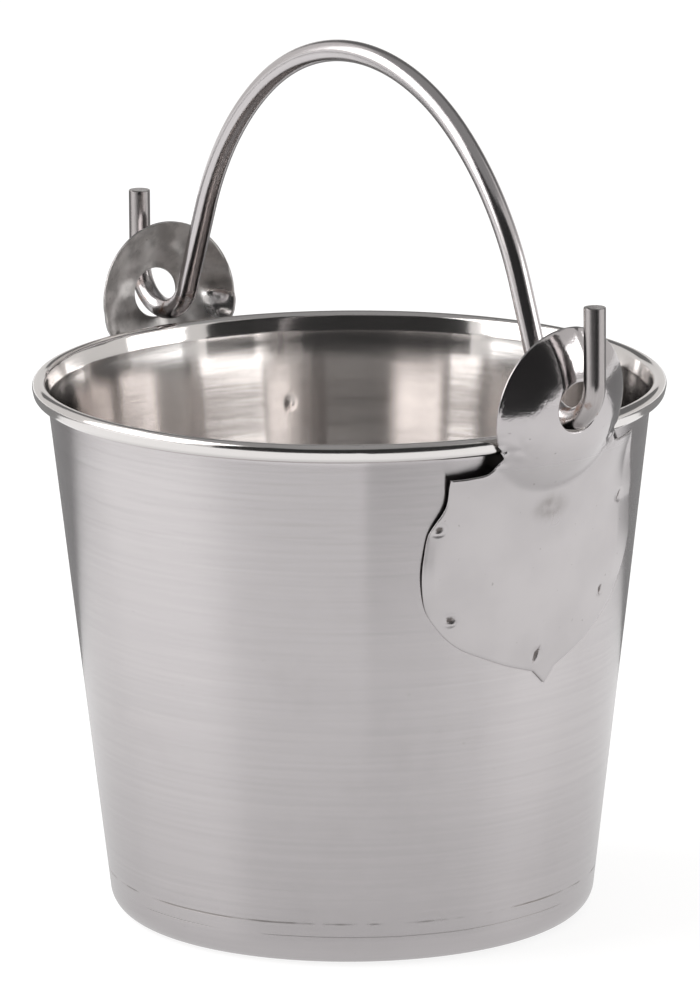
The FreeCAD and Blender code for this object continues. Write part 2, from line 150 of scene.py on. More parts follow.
# Spot welds of one ear: degrees round the pail from the ear's middle and height in
# millimetres, then the pit burnt into the dimple: its half length and half width in
# millimetres and its slant in degrees.
WELDS = [
    (-23, 146, 1.1, 0.8, 20),
    (23, 146, 1.7, 0.45, 68),
    (-20, 115.5, 1.2, 1.0, 0),
    (20, 115.5, 1.5, 0.8, 78),
    (0.8, 99.8, 2.4, 0.7, 62),
]
DIMPLE_RADIUS = 2.8 * MM
DIMPLE_DEPTH = 0.25 * MM
PIT_DEPTH = 0.3 * MM

SLANT = math.hypot(1, TAPER)
WALL_LEAN = math.degrees(math.atan(TAPER))


def share(value, low, high):
    """How far a value has come from one end of a range to the other, from 0 to 1."""
    return min(max((value - low) / (high - low), 0), 1)


def eased(part):
    """A share that starts and ends slowly."""
    return part * part * (3 - 2 * part)


def bell(gap):
    """A smooth bump: 1 in its middle, and fading out past a gap of 1."""
    return math.exp(-gap * gap)


def polar(centre, radius, degrees):
    turn = math.radians(degrees)
    return (centre[0] + radius * math.cos(turn), centre[1] + radius * math.sin(turn))


def sweep(centre, radius, first, last, steps):
    return [polar(centre, radius, first + (last - first) * i / steps) for i in range(steps + 1)]


def stretch(start, end, steps):
    """Points between two ends, without the ends themselves."""
    return [
        (start[0] + (end[0] - start[0]) * i / steps, start[1] + (end[1] - start[1]) * i / steps)
        for i in range(1, steps)
    ]


def make_object(name, verts, faces, sharp=40):
    mesh = bpy.data.meshes.new(name)
    mesh.from_pydata(verts, [], faces)
    mesh.validate()
    mesh.update()
    mesh.shade_smooth()
    mesh.set_sharp_from_angle(angle=math.radians(sharp))
    obj = bpy.data.objects.new(name, mesh)
    bpy.context.scene.collection.objects.link(obj)
    return obj


def note(obj, name, values):
    """Stores a vector for every vertex, for the materials to read."""
    layer = obj.data.attributes.new(name, "FLOAT_VECTOR", "POINT")
    layer.data.foreach_set("vector", [number for value in values for number in value])


def ripple(spot, seed):
    """Smooth noise between -1 and 1 that is the same on every run."""
    return noise.noise(Vector(spot) + Vector((seed * 7.3, seed * 3.1, seed * 5.7)))


# ---------------------------------------------------------------- pail shell
def wall_reach(height):
    return BASE_REACH + TAPER * height


def tangent_angle(first, first_radius, second, second_radius):
    """Direction in degrees from both circles' centres to the ends of their outer tangent."""
    run, rise = second[0] - first[0], second[1] - first[1]
    opening = math.acos((first_radius - second_radius) / math.hypot(run, rise))
    return math.degrees(math.atan2(rise, run) + opening)


# How each stretch of the sheet is finished, from satin at 0 to polished at 1.
FLOOR_SHINE, WALL_SHINE, KNEE_SHINE, RIM_SHINE = 0.2, 0.0, 0.75, 0.9
INSIDE_SHINE = 0.88


def shell_face(skin):
    """One face of the sheet, from the base's middle to the rolled edge, as
    (reach, height, shine) with the shine of the outer face."""
    foot = (wall_reach(CORNER) - CORNER * SLANT, CORNER)
    turn = (wall_reach(FLARE_HEIGHT) + FLARE_RADIUS * SLANT, FLARE_HEIGHT)
    roll = (RIM_REACH - ROLL_RADIUS, RIM_HEIGHT - ROLL_RADIUS)
    under = polar(roll, ROLL_DROP, -90 - ROLL_LEAN)
    flare = tangent_angle(turn, FLARE_RADIUS, roll, ROLL_RADIUS - GAUGE)
    bend, outer, curl = CORNER - skin, FLARE_RADIUS + skin, ROLL_RADIUS - GAUGE + skin
    heel = sweep(foot, bend, -90, -WALL_LEAN, 20)
    knee = sweep(turn, outer, 180 - WALL_LEAN, flare, 10)
    crest = sweep(roll, curl, flare, -ROLL_LEAN, 28)
    hem = sweep(under, curl, -ROLL_LEAN, -ROLL_TUCK, 16)
    floor = stretch((0, skin), heel[0], 16)
    wall = stretch(heel[-1], knee[0], 110)
    lip = stretch(knee[-1], crest[0], 4)
    drop = stretch(crest[-1], hem[0], 3)
    return (
        [(x, z, FLOOR_SHINE) for x, z in floor + heel]
        + [(x, z, WALL_SHINE) for x, z in wall]
        + [(x, z, KNEE_SHINE) for x, z in knee + lip]
        + [(x, z, RIM_SHINE) for x, z in crest + drop + hem])


def dent(turn, height):
    """Slow unevenness of the drawn wall, zero at the base and the rim."""
    fade = math.sin(math.pi * share(height, 0, RIM_HEIGHT)) ** 0.7
    broad = ripple((math.cos(turn) * 2.1, math.sin(turn) * 2.1, height * 11), 0)
    close = ripple((math.cos(turn) * 6.5, math.sin(turn) * 6.5, height * 34), 1)
    return (broad * 0.14 + close * 0.03) * MM * fade


def weld_places():
    """Every spot weld as the turn round the pail and the height."""
    for degrees, height, *_ in WELDS:
        turn = EAR_TURN + math.radians(degrees)
        yield turn, height * MM
        yield math.pi - turn, height * MM


def pip(turn, height):
    """The small raised marks that the spot welds leave inside the pail."""
    lift = 0
    for weld_turn, weld_height in weld_places():
        across = math.remainder(turn - weld_turn, math.tau) * wall_reach(height)
        lift += PIP_LIFT * bell(math.hypot(across, height - weld_height) / PIP_RADIUS)
    return lift


def throat(height):
    """How far the inner face swells just below where the sheet turns out to the rim."""
    fall = share(height, THROAT_HEIGHT, FLARE_HEIGHT)
    return THROAT_SWELL * eased(share(height, THROAT_FOOT, THROAT_HEIGHT)) * (1 - fall * fall)


def pail_shell():
    """The outer face from the base's middle to the hem, then the inner face back."""
    outside = shell_face(0)
    inside = shell_face(GAUGE)
    rows = outside + inside[::-1]
    count = PAIL_STEPS
    verts, notes = [], []
    for index, (reach, height, shine) in enumerate(rows):
        inner = index >= len(outside)
        if inner:
            shine = max(shine, INSIDE_SHINE)
        for step in range(count):
            turn = math.tau * step / count
            out = reach
            if CORNER < height < FLARE_HEIGHT:
                out += dent(turn, height)
                if inner:
                    out -= pip(turn, height) + throat(height)
            verts.append((out * math.cos(turn), out * math.sin(turn), height))
            notes.append((shine, float(inner), 0.0))
    faces = []
    for row in range(len(rows) - 1):
        for step in range(count):
            a, b = row * count + step, row * count + (step + 1) % count
            faces.append((a, b, b + count, a + count))
    low, high = len(verts), len(verts) + 1
    verts += [(0, 0, 0), (0, 0, GAUGE)]
    notes += [(FLOOR_SHINE, 0.0, 0.0), (INSIDE_SHINE, 1.0, 0.0)]
    last = (len(rows) - 1) * count
    for step in range(count):
        after = (step + 1) % count
        faces.append((low, after, step))
        faces.append((high, last + step, last + after))
    shell = make_object("pail_shell_detail", verts, faces)
    note(shell, "finish", notes)
    return shell


# ---------------------------------------------------------------------- ears
def lean_reach(height):
    """How far the ear's back stands from the pail's middle below the dome."""
    out = wall_reach(height)
    if height > LEAN_START:
        out += (height - LEAN_START) ** 2 / (2 * LEAN_RADIUS)
    return out


def smooth_max(a, b, width):
    """The larger of two values, rounded over where they are close."""
    mix = max(width - abs(a - b), 0) / width
    return max(a, b) + mix * mix * width / 4


def crumple(across, height, seed):
    """Unevenness of the pressed sheet: slow waves, and sharp folds at the neck."""
    slow = ripple((across * 45, height * 45, 0), seed) * WAVE
    slow *= share(height, LEAN_START, LEAN_START + WAVE_RUN)
    away = math.hypot(abs(across) - LOBE_RADIUS * 0.86, height - NECK_HEIGHT) / FOLD_RADIUS
    fold = abs(ripple((across * 330, height * 430, 0), seed + 1)) - 0.25
    return slow + fold * FOLD * bell(away)


def crease(across, height):
    """A fold that runs from the dome's upper edge down into the hole."""
    off = across - CREASE_ACROSS + (height - CREASE_HEIGHT) * CREASE_LEAN
    top = share(height, HOLE_HEIGHT, HOLE_HEIGHT + 6 * MM)
    return CREASE_DEPTH * top * bell(off / CREASE_HALF)


def sprung(across, height):
    """How far the lobe's sides have sprung off the wall between its spot welds, and
    how far its shoulders stay closer to the wall than the middle does."""
    side = share(abs(across), SPRING_START, SPRING_START + SPRING_RUN) ** 2
    flank = math.sin(math.pi * share(height, SPRING_LOW, SPRING_HIGH))
    shoulder = eased(share(height, SHOULDER_FOOT, SHOULDER_TOP))
    return side * (SPRING_OFF * flank - SHOULDER_IN * shoulder)


def ear_back(across, height, seed):
    """X of the ear's back face."""
    ring = math.sqrt(max(lean_reach(height) ** 2 - across ** 2, 0))
    spread = across ** 2 + (height - DOME_HEIGHT) ** 2
    reach = ring
    if spread < DOME_RADIUS ** 2:
        dome = DOME_REACH - DOME_RADIUS + math.sqrt(DOME_RADIUS ** 2 - spread)
        reach = dome if height > BLEND_TOP else smooth_max(ring, dome, DOME_BLEND)
    reach -= crease(across, height)
    if seed == LEFT_SEED:
        for dent_across, dent_height, radius, depth in KNOCKS:
            reach += depth * bell(math.hypot(across - dent_across, height - dent_height) / radius)
    return reach + crumple(across, height, seed) + sprung(across, height)


def ear_normal(across, height, seed):
    step = 0.25 * MM
    slope_y = (ear_back(across + step, height, seed)
               - ear_back(across - step, height, seed)) / (2 * step)
    slope_z = (ear_back(across, height + step, seed)
               - ear_back(across, height - step, seed)) / (2 * step)
    return Vector((1, -slope_y, -slope_z)).normalized()


def weld_spots():
    """Every spot weld of one ear as (across, height, pit's size and slant)."""
    for degrees, height, long, short, slant in WELDS:
        reach = lean_reach(height * MM)
        yield (reach * math.sin(math.radians(degrees)), height * MM, long * MM, short * MM, slant)


def dimple(across, height, seed):
    """How deep the electrodes pressed and burnt the ear's front face."""
    depth = 0
    for weld_across, weld_height, long, short, slant in weld_spots():
        run, rise = across - weld_across, height - weld_height
        gap = math.hypot(run, rise) / DIMPLE_RADIUS
        if gap < 1:
            depth += DIMPLE_DEPTH * (1 - gap * gap)
        lead = math.radians(slant)
        along = (run * math.cos(lead) + rise * math.sin(lead)) / long
        aside = (rise * math.cos(lead) - run * math.sin(lead)) / short
        ragged = 1 + 0.35 * ripple((across * 900, height * 900, 0), seed + 2)
        pit = math.hypot(along, aside) * ragged
        depth += PIT_DEPTH * (math.exp(-pit ** 4) - 0.25 * bell((pit - 1.5) * 3))
    return depth


def ear_outline():
    """The whole outline, anticlockwise from the tip, as (across, height)."""
    lobe = (0, LOBE_HEIGHT)
    notch = math.degrees(math.asin((LOBE_HEIGHT - NECK_HEIGHT) / LOBE_RADIUS))
    neck = polar(lobe, LOBE_RADIUS, -notch)
    hollow_up = BROW_HEIGHT + CROOK_RADIUS
    crook = math.degrees(math.asin((hollow_up - neck[1]) / CROOK_RADIUS))
    hollow = (neck[0] + CROOK_RADIUS * math.cos(math.radians(crook)), hollow_up)
    bilge = (BILGE_OFFSET, BILGE_HEIGHT)
    flank = (BILGE_OFFSET + BILGE_RADIUS - FLANK_RADIUS, BILGE_HEIGHT)
    rise = math.degrees(math.asin((BROW_HEIGHT - BILGE_HEIGHT) / FLANK_RADIUS))
    root = (TIP_HALF, TIP_ROOT)
    gap = BELLY_RADIUS - BILGE_RADIUS
    span = math.dist(root, bilge)
    along = (BELLY_RADIUS ** 2 - gap ** 2 + span ** 2) / (2 * span)
    aside = math.sqrt(BELLY_RADIUS ** 2 - along ** 2)
    lead = ((bilge[0] - root[0]) / span, (bilge[1] - root[1]) / span)
    belly = (root[0] + along * lead[0] - aside * lead[1],
             root[1] + along * lead[1] + aside * lead[0])
    hip = math.degrees(math.atan2(bilge[1] - belly[1], bilge[0] - belly[0]))
    keel = math.degrees(math.atan2(root[1] - belly[1], root[0] - belly[0]))
    shoulder = polar(flank, FLANK_RADIUS, rise)
    half = [(0, TIP_HEIGHT)] + stretch((0, TIP_HEIGHT), root, 10)
    half += sweep(belly, BELLY_RADIUS, keel, hip, 40)
    half += sweep(bilge, BILGE_RADIUS, hip, 0, 45)[1:]
    half += sweep(flank, FLANK_RADIUS, 0, rise, 45)[1:]
    half += stretch(shoulder, (hollow[0], BROW_HEIGHT), 14)
    half += sweep(hollow, CROOK_RADIUS, 270, 180 + crook, 12)
    half += sweep(lobe, LOBE_RADIUS, -notch, 90, 84)[1:]
    whole = half + [(-x, z) for x, z in half[-2:0:-1]]
    return [askew(x, z) for x, z in whole]


def askew(across, height):
    """Turns a spot of the outline about the upper lobe's centre."""
    drop = LOBE_HEIGHT - height
    return (across * math.cos(SKEW) + drop * math.sin(SKEW),
            LOBE_HEIGHT + across * math.sin(SKEW) - drop * math.cos(SKEW))


def inward(ring):
    """Unit vectors that point to the left of an anticlockwise closed line."""
    pointers = []
    for index in range(len(ring)):
        before, after = ring[index - 1], ring[(index + 1) % len(ring)]
        run, rise = after[0] - before[0], after[1] - before[1]
        length = math.hypot(run, rise)
        pointers.append((-rise / length, run / length))
    return pointers


def ear_grid(border):
    """Evenly spread spots inside the ear, denser round the welds."""
    tree = kdtree.KDTree(len(border))
    for index, spot in enumerate(border):
        tree.insert((*spot, 0), index)
    tree.balance()
    welds = [(across, height) for across, height, *_ in weld_spots()]
    crowd = DIMPLE_RADIUS * 1.25
    spots = []
    for row in range(EAR_ROWS):
        height = TIP_HEIGHT + row * ROW_PITCH
        for column in range(-EAR_COLUMNS, EAR_COLUMNS + 1):
            across = (column + 0.5 * (row % 2)) * PITCH
            if all(math.dist((across, height), weld) > crowd for weld in welds):
                spots.append((across, height))
    for weld in welds:
        spots.append(weld)
        for ring in range(1, 13):
            radius = crowd * ring / 12.5
            spots += sweep(weld, radius, ring * 11, ring * 11 + 360, 8 + 3 * ring)[:-1]
    return [spot for spot in spots if tree.find((*spot, 0))[2] > PITCH * 0.4]


def inside_ring(spot, ring):
    """Whether a spot lies inside a closed line."""
    crossings = False
    for index in range(len(ring)):
        (ax, az), (bx, bz) = ring[index - 1], ring[index]
        if (az > spot[1]) != (bz > spot[1]):
            if spot[0] < ax + (spot[1] - az) * (bx - ax) / (bz - az):
                crossings = not crossings
    return crossings


def sheared(across, height, mirrored, seed):
    """How far the hand-cut outline lies inside the even one."""
    pull = 0.0
    if height < BROW_HEIGHT:
        pull += ripple((across * 95, height * 95, 0), seed + 3) * RAGGED
    if mirrored and height < RAGGED_TOP:
        pull += ripple((across * 190, height * 190, 0), seed + 4) * RAGGED_LEFT
    if not mirrored:
        side = share(-across, -CUT_START, CUT_RUN - CUT_START)
        pull += CUT * side * bell((height - CUT_HEIGHT) / CUT_HALF)
    return pull


def shifted(ring, ways, pulls):
    """A closed line whose spots are each moved along their own direction."""
    return [(x + pull * dx, z + pull * dz) for (x, z), (dx, dz), pull in zip(ring, ways, pulls)]


def ear(name, mirrored, seed):
    """The pressed ear as a fine mesh between its back and front faces."""
    even = ear_outline()
    outline = shifted(even, inward(even), [sheared(x, z, mirrored, seed) for x, z in even])
    hole = sweep((0, HOLE_HEIGHT), HOLE_RADIUS, 360, 0, 90)[:-1]
    rings = [(outline, inward(outline)), (hole, inward(hole))]
    borders = [shifted(ring, ways, [EDGE_REACH] * len(ring)) for ring, ways in rings]
    border = borders[0] + borders[1]
    first = len(borders[0])
    edges = [((index or first) - 1, index) for index in range(first)]
    edges += [((index if index > first else len(border)) - 1, index)
              for index in range(first, len(border))]
    grid = [spot for spot in ear_grid(border) if inside_ring(spot, borders[0])]
    flat, _, cells, _, _, _ = delaunay_2d_cdt(
        [Vector(spot) for spot in border + grid], edges, [], 1, 1e-8)

    def raised(spot, rise):
        """A spot at a share of the sheet's gauge above its back face."""
        across, height = spot
        way = ear_normal(across, height, seed)
        lift = GAUGE * rise
        if rise == 1.0:
            lift -= dimple(across, height, seed)
        return Vector((ear_back(across, height, seed), across, height)) + way * lift

    verts, notes, faces = [], [], []
    count = len(flat)
    for rise in (1.0, 0.0):
        for spot in flat:
            verts.append(raised(tuple(spot), rise))
            notes.append((spot[0], spot[1], rise))
    brink = HOLE_RADIUS + EDGE_REACH - 0.006 * MM
    for cell in cells:
        middle = sum((flat[v] for v in cell), Vector((0, 0))) / len(cell)
        if math.dist(middle, (0, HOLE_HEIGHT)) < brink or not inside_ring(middle, borders[0]):
            continue
        a, b, c = (flat[v] for v in cell[:3])
        turned = (b[0] - a[0]) * (c[1] - a[1]) - (b[1] - a[1]) * (c[0] - a[0])
        ordered = list(cell) if turned > 0 else list(cell)[::-1]
        faces.append(tuple(ordered))
        faces.append(tuple(v + count for v in ordered[::-1]))
    start = 0
    for ring, ways in rings:
        size = len(ring)
        bands = [[start + i for i in range(size)]]
        for reach, rise in EDGE[1:-1]:
            bands.append([len(verts) + i for i in range(size)])
            for spot in shifted(ring, ways, [reach * EDGE_REACH] * size):
                verts.append(raised(spot, rise))
                notes.append((spot[0], spot[1], rise))
        bands.append([count + start + i for i in range(size)])
        for upper, lower in zip(bands, bands[1:]):
            for i in range(size):
                j = (i + 1) % size
                faces.append((upper[i], lower[i], lower[j], upper[j]))
        start += size
    turn = Matrix.Rotation(EAR_TURN, 3, "Z")
    verts = [turn @ vert for vert in verts]
    if mirrored:
        verts = [Vector((-x, y, z)) for x, y, z in verts]
        faces = [face[::-1] for face in faces]
    piece = make_object(name, verts, faces)
    note(piece, "plan", notes)
    return piece


# ---------------------------------------------------------------------- bail
def bail_path():
    """The rod's centre line in the XZ plane, from the left stub to the right."""
    fall = math.sqrt((SIDE_RADIUS - CROWN_RADIUS) ** 2 - SIDE_OFFSET ** 2)
    seam = math.degrees(math.atan2(fall, SIDE_OFFSET))
    side = (-SIDE_OFFSET, CROWN_HEIGHT - fall)
    hook = (HOOK_REACH, HOOK_HEIGHT)
    run, rise = hook[0] - side[0], hook[1] - side[1]
    lean = math.degrees(
        math.atan2(rise, run) + math.acos((SIDE_RADIUS + HOOK_RADIUS) / math.hypot(run, rise)))
    outer = HOOK_REACH + HOOK_RADIUS
    half = [(outer, STUB_HEIGHT), (outer, STUB_HEIGHT - BURR)]
    half += stretch((outer, STUB_HEIGHT - BURR), (outer, HOOK_HEIGHT), 24)
    half += sweep(hook, HOOK_RADIUS, 0, lean - 180, 60)
    shin = polar(side, SIDE_RADIUS, lean)
    half += stretch(half[-1], shin, 24)
    half += sweep(side, SIDE_RADIUS, lean, seam, 50)
    half += sweep((0, CROWN_HEIGHT), CROWN_RADIUS, seam, 90, 50)[1:]
    return [(-x, z) for x, z in half] + half[-2::-1]


def bail():
    """The bent rod, a little worn where it rests in the ears, with sawn ends."""
    path = bail_path()
    around = ROD_STEPS
    offset = DOME_REACH * math.sin(EAR_TURN)
    verts, notes, faces = [], [], []
    travel = 0.0
    for index, (x, z) in enumerate(path):
        ahead = path[min(index + 1, len(path) - 1)]
        behind = path[max(index - 1, 0)]
        travel += math.dist(path[index], behind)
        along = Vector((ahead[0] - behind[0], 0, ahead[1] - behind[1])).normalized()
        aside = Vector((0, 1, 0))
        up = along.cross(aside)
        for step in range(around):
            turn = math.tau * step / around
            spoke = aside * math.cos(turn) + up * math.sin(turn)
            wear = ripple((x * 260, z * 260, math.cos(turn) * 1.3), 5) - 0.6
            rubbed = bell((z - AXIS_HEIGHT) / WEAR_HALF)
            radius = ROD_RADIUS + min(wear, 0) * WEAR * rubbed
            if index in (0, len(path) - 1):
                rough = ripple((math.cos(turn) * 2, math.sin(turn) * 2, 0), 6)
                radius -= BURR * (1 + 0.5 * rough)
            verts.append(Vector((x, offset, z)) + spoke * radius)
            notes.append((travel, math.cos(turn), math.sin(turn)))
    for row in range(len(path) - 1):
        for step in range(around):
            a, b = row * around + step, row * around + (step + 1) % around
            faces.append((a, a + around, b + around, b))
    last = (len(path) - 1) * around
    faces.append(tuple(range(around)))
    faces.append(tuple(range(last + around - 1, last - 1, -1)))
    rod = make_object("bail_detail", verts, faces)
    note(rod, "run", notes)
    return rod


# ----------------------------------------------------------------- materials
def knot(tree, kind, wires=None, **settings):
    """One shader node: its settings, then its inputs as values or as links."""
    made = tree.nodes.new(kind)
    for key, value in settings.items():
        setattr(made, key, value)
    for slot, value in (wires or {}).items():
        if isinstance(value, bpy.types.NodeSocket):
            tree.links.new(value, made.inputs[slot])
        else:
            made.inputs[slot].default_value = value
    return made


def maths(tree, operation, *terms):
    return knot(tree, "ShaderNodeMath", dict(enumerate(terms)), operation=operation).outputs[0]


def grain(tree, spots, stretched, detail=2.0, rough=0.5):
    """Noise between 0 and 1, stretched differently along each axis."""
    moved = knot(tree, "ShaderNodeMapping", {"Vector": spots, "Scale": stretched})
    return knot(tree, "ShaderNodeTexNoise", {
        "Vector": moved.outputs[0], "Scale": 1.0, "Detail": detail, "Roughness": rough,
    }).outputs["Fac"]


def ramp(tree, value, low, high, out_low=0.0, out_high=1.0):
    """Maps a value from one range to another, clamped at both ends."""
    return knot(tree, "ShaderNodeMapRange", {
        "Value": value, "From Min": low, "From Max": high,
        "To Min": out_low, "To Max": out_high,
    }, interpolation_type="SMOOTHSTEP").outputs[0]


def tint(tree, fac, first, second):
    mixed = knot(tree, "ShaderNodeMix", {0: fac}, data_type="RGBA")
    for slot, colour in ((6, first), (7, second)):
        if isinstance(colour, bpy.types.NodeSocket):
            tree.links.new(colour, mixed.inputs[slot])
        else:
            mixed.inputs[slot].default_value = (*colour, 1)
    return mixed.outputs[2]


def bumps(tree, height, distance, below=None):
    wires = {"Height": height, "Distance": distance, "Strength": 1.0}
    if below is not None:
        wires["Normal"] = below
    return knot(tree, "ShaderNodeBump", wires).outputs[0]


def metal(name):
    material = bpy.data.materials.new(name)
    material.use_nodes = True
    tree = material.node_tree
    shader = tree.nodes["Principled BSDF"]
    shader.inputs["Metallic"].default_value = 1
    return material, tree, shader


def finish_metal(tree, shader, colour, roughness, normal):
    tree.links.new(colour, shader.inputs["Base Color"])
    tree.links.new(roughness, shader.inputs["Roughness"])
    tree.links.new(normal, shader.inputs["Normal"])


STEEL = (0.63, 0.598, 0.603)
STEEL_DARK = (0.575, 0.548, 0.553)
STEEL_BRIGHT = (0.78, 0.752, 0.738)      # inside the pail
EAR_STEEL = (0.565, 0.538, 0.541)
EAR_STEEL_DARK = (0.515, 0.490, 0.494)
# Painted light: the ears' back faces get a far lighter colour than their fronts, to make up for
# the dark room they reflect; their dull blotches are their own, but lifted lighter too.
EAR_BACK_PAINTED_LIGHT = (0.80, 0.775, 0.76)
EAR_BACK_DULL = (0.42, 0.405, 0.395)
# Painted highlight: near white for a patch over the knocks on the ears' back faces.
EAR_KNOCK_HIGHLIGHT = (0.92, 0.90, 0.89)
BURNT = (0.09, 0.07, 0.06)
# Painted shade: near black for the ears' back faces where they lie against the pail's wall.
SHADE = (0.03, 0.027, 0.025)
GRIME = (0.16, 0.14, 0.125)
RUST = (0.20, 0.085, 0.04)

SCUFF_HEIGHT, SCUFF_HALF = 14.7 * MM, 0.42 * MM
LOW_SCUFF_HEIGHT, LOW_SCUFF_HALF = 10.3 * MM, 0.25 * MM
SCUFF_WANDER = 2.4 * MM
# Middle of the painted highlight on the ears' back faces.
KNOCK_HIGHLIGHT_SPOT = (22 * MM, 178 * MM)
SMUDGE_SPOT, SMUDGE_SIZE = (1.7 * MM, 149 * MM), (8 * MM, 5.5 * MM)


def line_mark(tree, up, wobble, height, half):
    """A thin level line round the pail at a height, wandering with a noise."""
    shift = maths(tree, "MULTIPLY_ADD", wobble, SCUFF_WANDER, -SCUFF_WANDER / 2)
    off = maths(tree, "ABSOLUTE", maths(tree, "SUBTRACT", maths(tree, "ADD", up, shift), height))
    return ramp(tree, off, half * 0.3, half, 1.0, 0.0)


def flat_length(tree, vector):
    """The length of a vector, leaving out its Z."""
    flat = knot(tree, "ShaderNodeVectorMath", {0: vector, 1: (1, 1, 0)}, operation="MULTIPLY")
    return knot(tree, "ShaderNodeVectorMath", {0: flat.outputs[0]},
                operation="LENGTH").outputs["Value"]


def mixed_value(tree, fac, first, second):
    return knot(tree, "ShaderNodeMix", {0: fac, 2: first, 3: second},
                data_type="FLOAT").outputs[0]


def dirt_and_shade_layers(tree, colour, *layers):
    """A colour under several layers of grime, rust, burns and painted shade, each as (mask,
    strength, layer colour).
    """
    for mask, strength, layer_colour in layers:
        colour = tint(tree, maths(tree, "MULTIPLY", mask, strength), colour, layer_colour)
    return colour


def brushed_shell():
    """Drawn and brushed round the axis, with the marks of stacking and use."""
    material, tree, shader = metal("pail_steel")
    shader.inputs["Anisotropic"].default_value = 0.96
    shader.inputs["Anisotropic Rotation"].default_value = 0.25
    tangent = knot(tree, "ShaderNodeTangent", direction_type="RADIAL", axis="Z")
    tree.links.new(tangent.outputs[0], shader.inputs["Tangent"])
    place = knot(tree, "ShaderNodeTexCoord").outputs["Object"]
    up = knot(tree, "ShaderNodeSeparateXYZ", {0: place}).outputs["Z"]
    finish = knot(tree, "ShaderNodeAttribute", attribute_name="finish").outputs["Vector"]
    shine, inner, _ = knot(tree, "ShaderNodeSeparateXYZ", {0: finish}).outputs

    lines = grain(tree, place, (14, 14, 700), 1.0, 0.5)
    bands = grain(tree, place, (5, 5, 160), 3.0, 0.55)
    cloud = grain(tree, place, (24, 24, 24), 4.0, 0.6)
    specks = grain(tree, place, (700, 700, 700), 1.0, 0.5)

    wobble = grain(tree, place, (9, 9, 3), 3.0, 0.6)
    broken = ramp(tree, grain(tree, place, (34, 34, 60), 3.0, 0.6), 0.44, 0.6)
    thin = ramp(tree, grain(tree, place, (22, 22, 40), 2.0, 0.6), 0.46, 0.58)
    scuff = line_mark(tree, up, wobble, SCUFF_HEIGHT, SCUFF_HALF)
    scuff = maths(tree, "MULTIPLY", scuff, broken)
    low_scuff = line_mark(tree, up, wobble, LOW_SCUFF_HEIGHT, LOW_SCUFF_HALF)
    low_scuff = maths(tree, "MULTIPLY", maths(tree, "MULTIPLY", low_scuff, thin), 0.45)
    outer = maths(tree, "SUBTRACT", 1.0, inner)
    marks = maths(tree, "MULTIPLY", maths(tree, "ADD", scuff, low_scuff), outer)
    marks = maths(tree, "MINIMUM", marks, 1.0)
    spots = ramp(tree, specks, 0.79, 0.84)
    rubbed = ramp(tree, grain(tree, place, (24, 24, 620), 3.0, 0.6), 0.46, 0.72)
    near_rim = ramp(tree, up, 120 * MM, 150 * MM, 0.25, 1.0)
    rubbed = maths(tree, "MULTIPLY", maths(tree, "MULTIPLY", rubbed, near_rim), outer)

    streaks = maths(tree, "MULTIPLY_ADD", lines, 0.5, maths(tree, "MULTIPLY", bands, 0.5))
    colour = tint(tree, ramp(tree, streaks, 0.1, 0.9), STEEL_DARK, STEEL)
    colour = dirt_and_shade_layers(tree, colour, (ramp(tree, cloud, 0.5, 0.8), 0.06, GRIME))
    colour = tint(tree, inner, colour, STEEL_BRIGHT)
    colour = dirt_and_shade_layers(tree, colour, (rubbed, 0.06, GRIME), (marks, 0.7, GRIME), (spots, 0.45, GRIME))

    satin = maths(tree, "MULTIPLY_ADD", bands, 0.04, 0.19)
    satin = maths(tree, "MULTIPLY_ADD", cloud, 0.05, satin)
    bright = maths(tree, "MULTIPLY_ADD", cloud, 0.08, 0.07)
    rough = mixed_value(tree, shine, satin, bright)
    rough = maths(tree, "MULTIPLY_ADD", marks, 0.15, rough)

    normal = bumps(tree, bands, 0.006 * MM)
    swirls = maths(tree, "MULTIPLY", grain(tree, place, (28, 28, 230), 2.0, 0.5), inner)
    normal = bumps(tree, swirls, 0.06 * MM, normal)
    normal = bumps(tree, maths(tree, "MULTIPLY", marks, -1.0), 0.05 * MM, normal)
    finish_metal(tree, shader, colour, rough, normal)
    return material


def oval(tree, plan, centre, size, slant=0.0):
    """Coordinates in which an oval on the ear has the radius 1 round the origin."""
    return knot(tree, "ShaderNodeMapping", {
        "Vector": plan, "Location": (*centre, 0),
        "Rotation": (0, 0, math.radians(slant)), "Scale": (*size, 1),
    }, vector_type="TEXTURE").outputs[0]


def burns(tree, plan, peel):
    """The burnt pits of the ear's spot welds."""
    burnt = 0.0
    ragged = maths(tree, "SUBTRACT", peel, 0.5)
    for weld_across, weld_height, long, short, slant in weld_spots():
        pit = oval(tree, plan, (weld_across, weld_height), (long, short), slant)
        away = maths(tree, "MULTIPLY_ADD", ragged, 1.6, flat_length(tree, pit))
        burnt = maths(tree, "MAXIMUM", burnt, ramp(tree, away, 0.5, 1.35, 1.0, 0.0))
    return burnt


